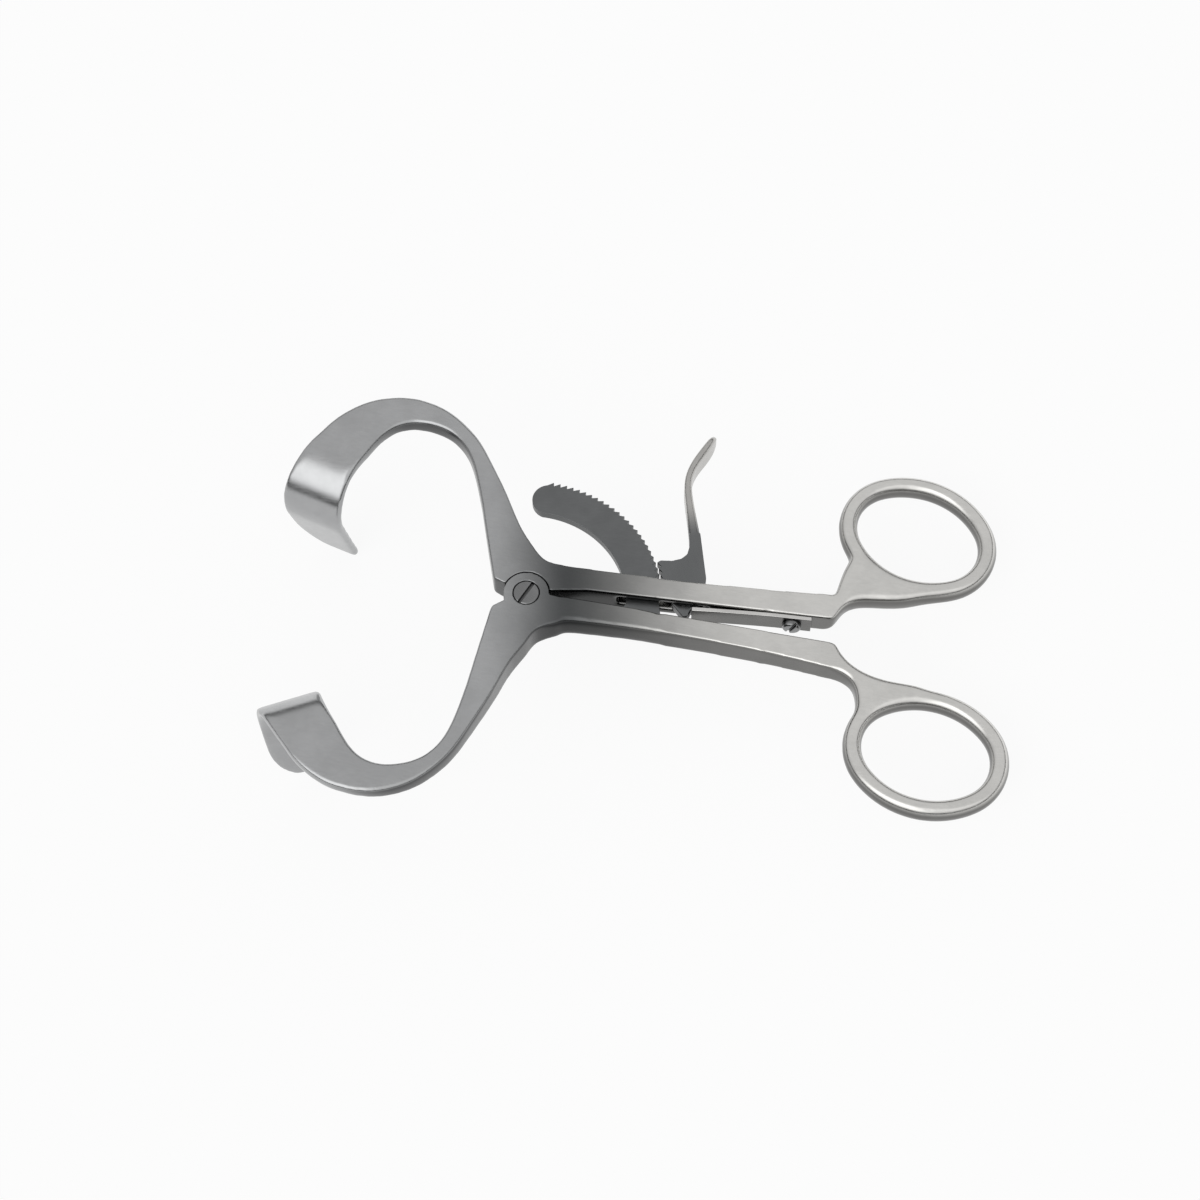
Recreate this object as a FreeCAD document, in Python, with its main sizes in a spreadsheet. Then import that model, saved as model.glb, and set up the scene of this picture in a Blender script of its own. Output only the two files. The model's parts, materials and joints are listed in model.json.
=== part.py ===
"""Side-ratchet mouth gag: two crossed arms on a screw, a toothed arc and a spring-loaded pawl.

Millimetres, +Z up. The instrument lies as it does on a table, on the ends of its jaw shelves and the
backs of its finger rings. Every piece is drawn in the scissor frame: the pivot's axis is Z, the handles
point along +X, the upper arm is on the +Y side and Z = 0 is the middle of the arms' thickness.
"""

import FreeCAD, Part
import Sketcher
import math
import os

Vector = FreeCAD.Vector
Rotation = FreeCAD.Rotation
Placement = FreeCAD.Placement

document = FreeCAD.newDocument("mouth_gag")

# Driving dimensions: alias, value, meaning
SIZES = [
    ("armThickness", 6.3, "thickness of both arms at the pivot"),
    ("shoulderThickness", 5.2, "thickness of both arms at the shoulder before the ring"),
    ("taperStart", 11.5, "distance from the pivot at which the shanks begin to get thinner"),
    ("upperShoulder", 57.4, "length of the upper shank, from the pivot to the shoulder before its ring"),
    ("lowerShoulder", 58.3, "length of the lower shank, from the pivot to the shoulder before its ring"),
    ("webRounding", 1.8, "rounding of the webs' back edges, between the shoulders and the rings"),
    ("upperShankAngle", -6.9, "direction of the upper shank, degrees from +X"),
    ("lowerShankAngle", -10.7, "direction of the lower shank, degrees from +X"),
    ("jawMirrorAngle", -3.1, "direction of the line about which the jaws mirror each other"),
    ("bossRadius", 4.3, "round half of the lap joint"),
    ("lapClearance", 0.1, "gap around the lap joint's boss"),
    ("lapGap", 0.05, "gap between the two halves of the lap joint"),
    ("runningClearance", 0.05, "radial clearance of everything that turns on a pin or screw"),
    ("bendX", -43.4, "outer end of the shelf's bend line, along X"),
    ("bendY", 35.8, "outer end of the shelf's bend line, along Y"),
    ("bendLineAngle", -24.6, "direction of the bend line, degrees from +X"),
    ("bendRadius", 11.5, "radius of the shelf's bend at its front face"),
    ("bendAngle", 104.0, "angle through which the shelf is bent"),
    ("shelfLength", 16.5, "straight length of the shelf after its bend"),
    ("shelfThickness", 1.9, "thickness of the shelf in its bend"),
    ("shelfTipThickness", 1.6, "thickness of the shelf at its tip"),
    ("shelfCornerWidth", 6.6, "width of the elliptical corner at the shelf's tip"),
    ("shelfCornerLength", 13.1, "length of the elliptical corner at the shelf's tip"),
    ("jawThickness", 3.0, "thickness of the jaw where it meets the shelf"),
    ("jawFlat", 11.0, "end of the jaw's level back, along the bend line"),
    ("jawSlopeMiddle", 28.0, "a place half way down the slope of the jaw's back, along the bend line"),
    ("jawSlopeDrop", 1.75, "how far the jaw's back has come down there"),
    ("jawSlopeEnd", 49.0, "where the jaw's back has come down to the pivot's back face"),
    ("holeMajor", 12.0, "half the length of the finger holes"),
    ("holeMinor", 9.3, "half the width of the finger holes"),
    ("ringBand", 3.25, "width of the finger rings' band"),
    ("ringThickness", 4.5, "thickness of the finger rings"),
    ("ringStep", 0.05, "how far the rings' faces lie below the front of the shoulders"),
    ("ringEndShare", 0.85, "radius of the rings' end arcs as a share of their half width"),
    ("ringLedge", 1.5, "width of the flat ledge on the rings' faces"),
    ("upperRingX", 14.5, "centre of the upper ring past its shoulder, along its shank"),
    ("upperRingY", 21.6, "centre of the upper ring off its shank"),
    ("upperRingAngle", -20.7, "turn of the upper ring's long axis from its shank"),
    ("lowerRingX", 19.35, "centre of the lower ring past its shoulder, along its shank"),
    ("lowerRingY", 18.0, "centre of the lower ring off its shank"),
    ("lowerRingAngle", 5.9, "turn of the lower ring's long axis from its shank"),
    ("slotWidth", 2.6, "width of the slot in the upper shank, for rack and pawl"),
    ("slotStart", 1.8, "room at that slot's near end, inside the rack's inner radius"),
    ("slotEnd", 8.5, "room at that slot's far end for the pawl, past the rack's tooth tips"),
    ("rackThickness", 1.8, "thickness of the toothed arc"),
    ("rackTipRadius", 25.5, "radius of the rack's tooth tips about the pivot"),
    ("rackInnerRadius", 18.6, "inner radius of the rack"),
    ("toothHeight", 0.75, "height of the ratchet teeth"),
    ("toothPitch", 2.935, "angle from tooth to tooth, degrees"),
    ("toothCount", 24, "number of teeth"),
    ("firstTooth", 78.8, "direction of the tooth nearest the free end, degrees"),
    ("rackEndBulge", 2.4, "length of the rack's rounded free end, past its first tooth"),
    ("rackFootDepth", 3.4, "depth of the rack's foot in the lower shank"),
    ("rackFootStart", 1.0, "near side of the rack's foot, inside the rack's inner radius"),
    ("rackFootEnd", 0.1, "far side of the rack's foot, inside its tooth tips"),
    ("rackPinRadius", 0.75, "radius of the two pins through the rack's foot"),
    ("pawlThickness", 2.2, "thickness of the pawl between the slot's walls"),
    ("pawlPivotX", 2.5, "pawl's pin past the rack's tooth tips, along the upper shank"),
    ("pawlPivotY", 3.9, "pawl's pin off the pivot's centre line"),
    ("pawlPinRadius", 1.0, "radius of the pawl's pin"),
    ("pawlTurn", 6.0, "turn that takes the pawl from clear to fully engaged, degrees"),
    ("pawlClearance", 0.08, "clearance of the pawl's teeth to the rack"),
    ("springThickness", 0.8, "thickness of the leaf spring"),
    ("springWidth", 4.4, "width of the leaf spring"),
    ("springTip", 5.5, "free end of the leaf spring, past the rack's tooth tips"),
    ("springEnd", 4.0, "clamped end of the leaf spring, before the shoulder"),
    ("springLift", 0.65, "distance of the spring's free end from the shank"),
    ("springScrewX", 3.6, "spring screw, before the spring's clamped end"),
    ("springClamp", 3.0, "length that lies flat on the shank on either side of the screw, from its axis"),
    ("springHeadRadius", 1.75, "radius of the spring screw's head"),
    ("springHeadHeight", 1.15, "height of the spring screw's head"),
    ("springThreadRadius", 0.9, "radius of the spring screw's thread"),
    ("springThreadLength", 3.2, "length of that thread in the shank"),
    ("pivotHeadRadius", 2.45, "radius of the pivot screw's head"),
    ("pivotHeadHeight", 1.2, "height of the pivot screw's head"),
    ("pivotShoulderRadius", 1.9, "radius of the pivot screw where the lower arm turns on it"),
    ("pivotThreadRadius", 1.5, "radius of the pivot screw's thread in the upper arm"),
    ("screwSlotWidth", 0.65, "width of the screwdriver slots"),
    ("screwSlotDepth", 0.6, "depth of the screwdriver slots"),
    ("pivotSlotAngle", 57.0, "direction of the pivot screw's slot, degrees"),
    ("springSlotAngle", 68.0, "direction of the spring screw's slot, degrees"),
    ("tilt", 10.8, "turn about Y that lays the shelves' ends and the rings on the table"),
]

sheet = document.addObject("Spreadsheet::Sheet", "Sizes")
for row, (alias, value, meaning) in enumerate(SIZES, start=1):
    sheet.set("A%d" % row, meaning)
    sheet.set("B%d" % row, str(value))
    sheet.setAlias("B%d" % row, alias)
document.recompute()


def size(alias):
    return float(sheet.get(alias))


HALF = size("armThickness") / 2
ROOM = 2.0        # how far a cutting tool runs past the solid
REACH = 200.0     # longer than the instrument, for cuts right through
WEB_REACH = 0.5   # how far past the middle of the ring's band its web runs

# Stations of the jaw's edges, from the bend line to the pivot: along the bend line (w), and from it (u)
JAW_OUTER = [(2.7, 0.0), (3.7, -3.4), (6.0, -8.1), (8.7, -11.4), (11.9, -13.7), (15.3, -15.25),
             (19.2, -15.9), (23.4, -15.65), (27.2, -14.5), (31.8, -12.1), (36.3, -8.4), (41.8, -3.4),
             (44.8, -0.4), (47.8, 2.4), (51.1, 4.75)]
JAW_INNER = [(13.5, 0.0), (14.2, -3.9), (15.6, -7.4), (18.3, -9.95), (22.0, -11.2), (26.0, -11.25),
             (30.2, -9.4), (32.95, -6.85), (35.65, -3.4), (38.35, 0.4), (40.65, 3.95), (43.05, 7.6),
             (45.3, 11.0), (47.4, 14.15)]
# The shelf's own edges in plan, from the bend line on
SHELF_OUTER = [(2.7, 0.0), (1.9, 2.6), (1.2, 5.4), (0.5, 8.4), (0.1, 11.5)]
SHELF_INNER = [(13.5, 0.0), (13.0, 2.6), (12.7, 5.4), (12.6, 8.4), (12.6, 11.5)]

# The strip that the shelf is cut from: its middle and its width, along the bend line
SHELF_MIDDLE = 6.5
SHELF_BLANK = 20.0

# Each arm in its own frame, x along the shank and y away from the other arm. The shank's outer edge is
# given at the start of its taper, half way and at the shoulder, its inner edge at the start and the
# shoulder, and the web's edges by their distance past the shoulder
UPPER = {
    "side": 1,
    "angle": "upperShankAngle",
    "ring": ("upperRingX", "upperRingY", "upperRingAngle"),
    "flare": [(2.6, 7.5), (5.6, 6.8), (8.6, 6.55)],
    "shoulder": "upperShoulder",
    "outer": [6.5, 6.2, 6.9],
    "inner": [1.9, 1.7],
    "inner_start": 1.0,
    "web_outer": [(0.6, 9.6), (1.5, 13.0)],
    "web_inner": [(15.1, 8.1), (6.3, 6.7), (3.4, 6.1), (1.8, 4.8), (0.8, 3.1)],
    "web_turns": (232.0, 300.0),
}
LOWER = {
    "side": -1,
    "angle": "lowerShankAngle",
    "ring": ("lowerRingX", "lowerRingY", "lowerRingAngle"),
    "flare": [(3.9, 6.65), (7.3, 5.1)],
    "shoulder": "lowerShoulder",
    "outer": [4.1, 3.45, 4.7],
    "inner": [-0.6, -0.65],
    "inner_start": -0.45,
    "web_outer": [(2.4, 5.3), (4.3, 6.5), (5.4, 8.8), (5.9, 13.0)],
    "web_inner": [(17.7, 5.8), (12.7, 5.2), (8.0, 4.8), (5.0, 3.9), (2.5, 2.4), (1.0, 0.9)],
    "web_turns": (192.0, 262.0),
}


# Small helpers for sketches and solids

def origin_plane(body, role):
    return next(plane for plane in body.Origin.OriginFeatures if plane.Role == role)


def new_body(name):
    body = document.addObject("PartDesign::Body", name)
    body.Label = name
    return body


def new_sketch(body, name, edges, frame=Placement()):
    """Put a closed loop of edges, or several, in a sketch placed by frame in the body."""
    sketch = body.newObject("Sketcher::SketchObject", name)
    sketch.AttachmentSupport = [(origin_plane(body, "XY_Plane"), "")]
    sketch.MapMode = "FlatFace"
    sketch.AttachmentOffset = frame
    for edge in edges:
        sketch.addGeometry(edge, False)
    return sketch


def round_sketch(body, name, x, y, alias, frame=Placement(), extra=None):
    """A sketch of one circle whose radius is bound to a size, with a clearance if one is named."""
    radius = size(alias) + (size(extra) if extra else 0.0)
    sketch = new_sketch(body, name, [Part.Circle(Vector(x, y, 0), Vector(0, 0, 1), radius)], frame)
    constraint = sketch.addConstraint(Sketcher.Constraint("Radius", 0, radius))
    sketch.renameConstraint(constraint, "radius")
    sketch.setExpression("Constraints.radius", "Sizes." + alias + (" + Sizes." + extra if extra else ""))
    return sketch


def extrude(body, kind, name, sketch, length):
    """Pad or pocket evenly to both sides of the sketch; length is a number or a size's alias."""
    before = body.Tip.Shape.Volume if kind == "Pocket" else None
    feature = body.newObject("PartDesign::" + kind, name)
    feature.Profile = sketch
    feature.SideType = "Symmetric"
    if isinstance(length, str):
        feature.setExpression("Length", "Sizes." + length)
    else:
        feature.Length = length
    document.recompute()
    if before is not None and not feature.Shape.Volume < before:
        raise RuntimeError(name + " cuts nothing")
    return feature


def polygon(points, closed=True):
    corners = [Vector(x, y, 0) for x, y in points]
    if closed:
        corners.append(corners[0])
    return [Part.LineSegment(a, b) for a, b in zip(corners, corners[1:])]


def spline(points, start=None, end=None):
    """A smooth curve through the points, with a set direction at either end if one is given."""
    curve = Part.BSplineCurve()
    options = {"Points": [Vector(*p) if len(p) == 3 else Vector(p[0], p[1], 0) for p in points]}
    if start is not None:
        options["InitialTangent"] = start.normalize()
    if end is not None:
        options["FinalTangent"] = end.normalize()
    curve.interpolate(**options)
    return curve


def at(x, y, z, angle=0.0):
    """A frame at a point, turned about Z."""
    return Placement(Vector(x, y, z), Rotation(Vector(0, 0, 1), angle))


def turned(x, y, degrees):
    a = math.radians(degrees)
    return (x * math.cos(a) - y * math.sin(a), x * math.sin(a) + y * math.cos(a))


# The two arms

def jaw_turn(arm):
    """Turn from the upper jaw at rest to this arm's own, mirrored frame."""
    if arm["side"] > 0:
        return -size("upperShankAngle")
    return size("lowerShankAngle") - 2 * size("jawMirrorAngle")


def jaw_point(arm, w, u):
    a = math.radians(size("bendLineAngle"))
    x = size("bendX") + w * math.cos(a) + u * math.sin(a)
    y = size("bendY") + w * math.sin(a) - u * math.cos(a)
    x, y = turned(x, y, jaw_turn(arm))
    return Vector(x, arm["side"] * y, 0)


def own(arm, x, y):
    return Vector(x, arm["side"] * y, 0)


def ring_place(arm):
    """The ring's centre in the arm's own frame, and the turn of its long axis."""
    x, y, angle = (size(alias) for alias in arm["ring"])
    return size(arm["shoulder"]) + x, y, angle


def ring_point(arm, degrees, grow=0.0):
    """A point on the ring's centre line, or grown from it, by its angle on the ellipse."""
    x, y, angle = ring_place(arm)
    t = math.radians(degrees)
    major = size("holeMajor") + size("ringBand") / 2 + grow
    minor = size("holeMinor") + size("ringBand") / 2 + grow
    dx, dy = turned(major * math.cos(t), minor * math.sin(t), angle)
    return own(arm, x + dx, y + dy)


def ring_arc(arm, start, end):
    """The part of the ring's centre line between two of its angles, as a smooth curve."""
    steps = 6
    turns = [start + (end - start) * k / steps for k in range(steps + 1)]
    return spline([ring_point(arm, turn, WEB_REACH) for turn in turns])


def arm_outline(arm):
    """The whole blank in plan, as a closed loop: jaw, lap boss, shank and the web to the ring."""
    boss = size("bossRadius")
    side = arm["side"]
    start, shoulder = size("taperStart"), size(arm["shoulder"])
    outer = [own(arm, x, y) for x, y in zip((start, (start + shoulder) / 2, shoulder), arm["outer"])]
    shank = Part.Arc(*outer)
    shank_start = shank.tangent(shank.parameter(outer[0]))[0]
    if shank_start.x < 0:
        shank_start = -shank_start
    flare = [own(arm, x, y) for x, y in arm["flare"]]
    jaw_out = [jaw_point(arm, w, u) for w, u in JAW_OUTER] + flare + [outer[0]]
    jaw_in = [jaw_point(arm, w, u) for w, u in JAW_INNER]
    root = jaw_in[-1]
    root_on_boss = root * (boss / root.Length)
    inner_y = side * arm["inner_start"]
    inner_x = math.sqrt(boss ** 2 - inner_y ** 2)
    start_on_boss = Vector(inner_x, inner_y, 0)
    far_side = Vector(0.3 * boss, -side * boss * math.sqrt(1 - 0.09), 0)
    inner = [own(arm, x, y) for x, y in zip((start, shoulder), arm["inner"])]
    web_out = [outer[2]] + [own(arm, shoulder + x, y) for x, y in arm["web_outer"]]
    web_in = [own(arm, shoulder + x, y) for x, y in arm["web_inner"]] + [inner[1]]
    turn_out, turn_in = arm["web_turns"]
    ring_out, ring_in = (ring_point(arm, turn, WEB_REACH) for turn in (turn_out, turn_in))
    jaw_out_start = jaw_point(arm, JAW_OUTER[0][0] + 0.35, -1.0) - jaw_out[0]
    return [
        spline(jaw_out, jaw_out_start, shank_start),
        shank,
        spline(web_out + [ring_out]),
        ring_arc(arm, turn_out, turn_in),
        spline([ring_in] + web_in),
        Part.LineSegment(inner[1], inner[0]),
        Part.LineSegment(inner[0], start_on_boss),
        Part.Arc(start_on_boss, far_side, root_on_boss),
        Part.LineSegment(root_on_boss, root),
        spline(jaw_in[::-1]),
        Part.LineSegment(jaw_in[0], jaw_out[0]),
    ]


def shelf_frame(arm, w):
    """The plane across the bend line at w: sketch X is u, away from the bend line, sketch Y is up."""
    origin = jaw_point(arm, w, 0)
    u_axis = (jaw_point(arm, w, 1) - origin)
    up = Vector(0, 0, 1)
    return Placement(origin, Rotation(u_axis, up, u_axis.cross(up), "XYZ"))


def width_frame(arm, u):
    """The plane along the bend line at u: sketch X is w, sketch Y is up."""
    origin = jaw_point(arm, 0, u)
    w_axis = (jaw_point(arm, 1, u) - origin)
    up = Vector(0, 0, 1)
    return Placement(origin, Rotation(w_axis, up, w_axis.cross(up), "XYZ"))


def shelf_profile():
    """The bent shelf seen along its bend line: u across, height up."""
    radius = size("bendRadius")
    bend = math.radians(size("bendAngle"))
    wall = size("shelfThickness")
    tip_wall = size("shelfTipThickness")
    root = size("jawThickness")
    centre_z = HALF - radius

    def on(turn, r):
        return Vector(r * math.sin(turn), centre_z + r * math.cos(turn), 0)

    along = Vector(math.cos(bend), -math.sin(bend), 0)
    inward = Vector(-math.sin(bend), -math.cos(bend), 0)
    outer_end = on(bend, radius)
    tip = outer_end + along * size("shelfLength")
    tip_in = tip + inward * tip_wall
    inner_end = on(bend, radius - wall)
    blend = math.radians(40.0)
    inner_start = Vector(0, HALF - root, 0)
    front = Vector(0, HALF, 0)
    return [
        Part.Arc(front, on(bend / 2, radius), outer_end),
        Part.LineSegment(outer_end, tip),
        Part.LineSegment(tip, tip_in),
        Part.LineSegment(tip_in, inner_end),
        Part.Arc(inner_end, on((bend + blend) / 2, radius - wall), on(blend, radius - wall)),
        spline([on(blend, radius - wall), inner_start],
               Vector(-math.cos(blend), math.sin(blend), 0), Vector(-1, 0.0, 0)),
        Part.LineSegment(inner_start, front),
    ]


def shelf_tip_depth():
    bend = math.radians(size("bendAngle"))
    radius = size("bendRadius")
    return radius * (1 - math.cos(bend)) + size("shelfLength") * math.sin(bend)


def shelf_corner():
    """What is cut off the shelf's outer tip corner, in the plane along the bend line."""
    depth = shelf_tip_depth()
    lean = math.sin(math.radians(size("bendAngle")))
    height = size("shelfCornerLength") * lean
    tip_z = HALF - depth
    width = size("shelfCornerWidth")
    turns = [180 + 90 * k / 6 for k in range(7)]
    curve = [Vector(width + width * math.cos(math.radians(t)),
                    tip_z + height + height * math.sin(math.radians(t)), 0) for t in turns]
    corner = [Vector(-ROOM, tip_z + height, 0), Vector(-ROOM, tip_z - ROOM, 0),
              Vector(width, tip_z - ROOM, 0)]
    return [
        spline(curve, Vector(0, -1, 0), Vector(1, 0, 0)),
        Part.LineSegment(curve[-1], corner[2]),
        Part.LineSegment(corner[2], corner[1]),
        Part.LineSegment(corner[1], corner[0]),
        Part.LineSegment(corner[0], curve[0]),
    ]


def ring_section():
    """The ring's cross-section: flat ledges front and back, and flanks rounded from ledge to ledge."""
    ledge = size("ringLedge") / 2
    height = size("ringThickness") / 2
    edges = []
    for sign in (1, -1):
        low, high = Vector(sign * ledge, -sign * height, 0), Vector(sign * ledge, sign * height, 0)
        edges.append(Part.Arc(low, Vector(sign * size("ringBand") / 2, 0, 0), high))
        edges.append(Part.LineSegment(high, Vector(-sign * ledge, sign * height, 0)))
    return edges


def build_arm(name, arm):
    side = arm["side"]
    body = new_body(name)
    thickness = size("armThickness")

    blank = new_sketch(body, name + "_outline", arm_outline(arm))
    extrude(body, "Pad", name + "_blank", blank, "armThickness")

    # The jaw gets thinner from the pivot towards the shelf, on its back only
    level = HALF - size("jawThickness")
    below = -HALF - ROOM
    flat, middle, end = size("jawFlat"), size("jawSlopeMiddle"), size("jawSlopeEnd")
    near = -size("jawFlat")
    half_way = Vector(middle, level - size("jawSlopeDrop"), 0)
    slope = Part.Arc(Vector(flat, level, 0), half_way, Vector(end, -HALF, 0))
    corners = [(end, -HALF), (end, below), (near, below), (near, level), (flat, level)]
    wedge = polygon(corners, closed=False) + [slope]
    cut = new_sketch(body, name + "_jaw_taper", wedge, width_frame(arm, 0))
    extrude(body, "Pocket", name + "_jaw_back", cut, REACH)

    # The shelf is bent down from the end of the jaw
    bent = new_sketch(body, name + "_bend", shelf_profile(), shelf_frame(arm, SHELF_MIDDLE))
    extrude(body, "Pad", name + "_shelf", bent, SHELF_BLANK)
    sides = []
    far = size("bendRadius") + ROOM
    beyond = SHELF_BLANK / 2 + ROOM
    for stations, edge_w in ((SHELF_OUTER, SHELF_MIDDLE - beyond), (SHELF_INNER, SHELF_MIDDLE + beyond)):
        points = [jaw_point(arm, w, u) for w, u in stations]
        last = jaw_point(arm, stations[-1][0], far)
        corner_far, corner_near = jaw_point(arm, edge_w, far), jaw_point(arm, edge_w, 0)
        sides += [spline(points), Part.LineSegment(points[-1], last), Part.LineSegment(last, corner_far),
                  Part.LineSegment(corner_far, corner_near), Part.LineSegment(corner_near, points[0])]
    trim = new_sketch(body, name + "_shelf_edges", sides)
    extrude(body, "Pocket", name + "_shelf_trim", trim, REACH)
    corner = new_sketch(body, name + "_shelf_corner", shelf_corner(), width_frame(arm, size("bendRadius")))
    extrude(body, "Pocket", name + "_corner_cut", corner, 3 * size("bendRadius"))

    # The shank gets thinner towards the ring on both faces
    start, end = size("taperStart"), size(arm["shoulder"])
    thin = size("shoulderThickness") / 2
    wedges = []
    for sign in (1, -1):
        wedges += polygon([(start, sign * HALF), (end, sign * thin), (REACH / 2, sign * thin),
                           (REACH / 2, sign * (HALF + ROOM)), (start, sign * (HALF + ROOM))])
    side_view = Placement(Vector(0, 0, 0), Rotation(Vector(1, 0, 0), 90))
    faces = new_sketch(body, name + "_shank_taper", wedges, side_view)
    extrude(body, "Pocket", name + "_shank_faces", faces, REACH)
    return body


def oval(major, minor):
    """A four-centre oval: two tight end arcs and two wide side arcs that meet smoothly."""
    tight = size("ringEndShare") * minor
    reach = major - tight
    wide = (reach ** 2 + minor ** 2 - tight ** 2) / (2 * (minor - tight))
    turn = math.atan2(wide - minor, reach)
    joint = (reach + tight * math.cos(turn), tight * math.sin(turn))
    middle = (reach + tight * math.cos(turn / 2), tight * math.sin(turn / 2))
    end, left = Vector(major, 0, 0), Vector(-major, 0, 0)
    top, bottom = Vector(0, minor, 0), Vector(0, -minor, 0)
    x, y = joint
    return [
        Part.Arc(end, Vector(middle[0], middle[1], 0), Vector(x, y, 0)),
        Part.Arc(Vector(x, y, 0), top, Vector(-x, y, 0)),
        Part.Arc(Vector(-x, y, 0), left, Vector(-x, -y, 0)),
        Part.Arc(Vector(-x, -y, 0), bottom, Vector(x, -y, 0)),
        Part.Arc(Vector(x, -y, 0), Vector(middle[0], -middle[1], 0), end),
    ]


def ring_lift():
    """Height of the rings' middle plane, so that their faces are nearly flush with the shoulders."""
    return (size("shoulderThickness") - size("ringThickness")) / 2 - size("ringStep")


def round_web(body, name, arm):
    """Round the web's back edge along its inner side, from the shoulder to the ring."""
    base = body.Tip
    back = -size("shoulderThickness") / 2
    x, y = arm["web_inner"][1]
    beside = own(arm, size(arm["shoulder"]) + x, y) + Vector(0, 0, back)
    edges = base.Shape.Edges
    level = [k for k, edge in enumerate(edges)
             if edge.BoundBox.ZMax < back + 0.01 and edge.Length > size("holeMajor")]
    nearest = min(level, key=lambda k: edges[k].distToShape(Part.Vertex(beside))[0])
    rounding = body.newObject("PartDesign::Fillet", name + "_web_back")
    rounding.Base = (base, ["Edge%d" % (nearest + 1)])
    rounding.setExpression("Radius", "Sizes.webRounding")
    document.recompute()
    return rounding


def add_ring(body, name, arm):
    x, y, angle = ring_place(arm)
    major = size("holeMajor") + size("ringBand") / 2
    minor = size("holeMinor") + size("ringBand") / 2
    frame = at(x, arm["side"] * y, ring_lift(), arm["side"] * angle)
    arcs = oval(major, minor)
    path = new_sketch(body, name + "_ring_path", arcs, frame)
    across = frame.multiply(Placement(Vector(major, 0, 0), Rotation(Vector(1, 0, 0), 90)))
    section = new_sketch(body, name + "_ring_section", ring_section(), across)
    document.recompute()
    ring = body.newObject("PartDesign::AdditivePipe", name + "_ring")
    ring.Profile = section
    ring.Spine = (path, ["Edge%d" % number for number in range(1, len(arcs) + 1)])
    document.recompute()
    return ring


def cut_lap(body, name, arm):
    """The lower arm keeps the front half of the round boss, the upper arm the back half."""
    lost = arm["side"]
    depth = HALF + ROOM
    frame = at(0, 0, lost * (depth - size("lapGap")) / 2)
    ring = round_sketch(body, name + "_lap", 0, 0, "bossRadius", frame, "lapClearance")
    return extrude(body, "Pocket", name + "_lap_cut", ring, depth)


def slot(body, name, width, corners):
    """A slot through the shank, open on both edges: corners in plan, width across the arm."""
    outline = new_sketch(body, name, polygon(corners))
    return extrude(body, "Pocket", name + "_cut", outline, width)


def bore(body, name, x, y, alias, frame=None, length=REACH, extra=None):
    sketch = round_sketch(body, name, x, y, alias, frame or Placement(), extra)
    return extrude(body, "Pocket", name + "_cut", sketch, length)


def shank_half(arm, x):
    """Half the thickness of a shank at x, after its taper."""
    start, end = size("taperStart"), size(arm["shoulder"])
    share = min(max((x - start) / (end - start), 0.0), 1.0)
    return HALF + share * (size("shoulderThickness") / 2 - HALF)


def lay_down():
    """The frame of the whole instrument lying on the table; its height is set at the end."""
    return Placement(Vector(0, 0, 0), Rotation(Vector(0, 1, 0), size("tilt")))


# Ratchet rack, drawn in the scissor frame

def polar(radius, degrees):
    a = math.radians(degrees)
    return Vector(radius * math.cos(a), radius * math.sin(a), 0)


def tooth_line(grow=0.0, extra=0):
    """The teeth from the free end to the foot: gentle ramps towards the free end, steep flanks below."""
    tip, root = size("rackTipRadius") + grow, size("rackTipRadius") - size("toothHeight") + grow
    pitch = size("toothPitch")
    steep = 0.12 * pitch
    count = int(size("toothCount")) + extra
    points = []
    for k in range(count):
        angle = size("firstTooth") - k * pitch
        points.append(polar(root, angle + pitch - steep))
        points.append(polar(tip, angle))
    points.append(polar(root, size("firstTooth") - (count - 1) * pitch - steep))
    return points


def line_up(points):
    return [Part.LineSegment(a, b) for a, b in zip(points, points[1:])]


def foot_span():
    """Near and far side of the rack's foot, along the lower shank."""
    return size("rackInnerRadius") - size("rackFootStart"), size("rackTipRadius") - size("rackFootEnd")


def foot_points():
    """The rack's foot in the lower shank, from its outer side to its inner side, in the scissor frame."""
    angle = size("lowerShankAngle")
    edge_y = -LOWER["inner"][0]
    deep = edge_y - size("rackFootDepth")
    near, far = foot_span()
    corners = [(far, edge_y), (far, deep), (near, deep), (near, edge_y)]
    return [Vector(*turned(x, y, angle), 0) for x, y in corners]


def rack_outline():
    teeth = tooth_line()
    root = size("rackTipRadius") - size("toothHeight")
    inner = size("rackInnerRadius")
    middle = (root + inner) / 2
    end = math.degrees(math.atan2(teeth[0].y, teeth[0].x))
    foot = foot_points()
    neck = 5.0    # degrees from the foot to the start of the inner edge's arc
    foot_inner = polar(inner, math.degrees(math.atan2(foot[3].y, foot[3].x)) + neck)
    tip = polar(middle, end + math.degrees(size("rackEndBulge") / middle))
    return [Part.Arc(polar(inner, end), tip, teeth[0])] + line_up(teeth) + [
        Part.LineSegment(teeth[-1], foot[0]),
        Part.LineSegment(foot[0], foot[1]),
        Part.LineSegment(foot[1], foot[2]),
        Part.LineSegment(foot[2], foot[3]),
        Part.LineSegment(foot[3], foot_inner),
        Part.Arc(foot_inner, polar(inner, end / 2), polar(inner, end)),
    ]


def rack_pin_places():
    """Centres of the two pins in the lower arm's own frame."""
    near, far = foot_span()
    inset = 0.22 * (far - near)
    y = LOWER["inner"][0] + size("rackFootDepth") * 0.55
    return [(near + inset, -y), (far - inset, -y)]


def build_rack():
    body = new_body("ratchet_rack")
    outline = new_sketch(body, "rack_outline", rack_outline())
    extrude(body, "Pad", "rack_plate", outline, "rackThickness")
    for k, (x, y) in enumerate(rack_pin_places(), start=1):
        px, py = turned(x, y, size("lowerShankAngle"))
        bore(body, "rack_pin_hole_%d" % k, px, py, "rackPinRadius")
    return body


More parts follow.
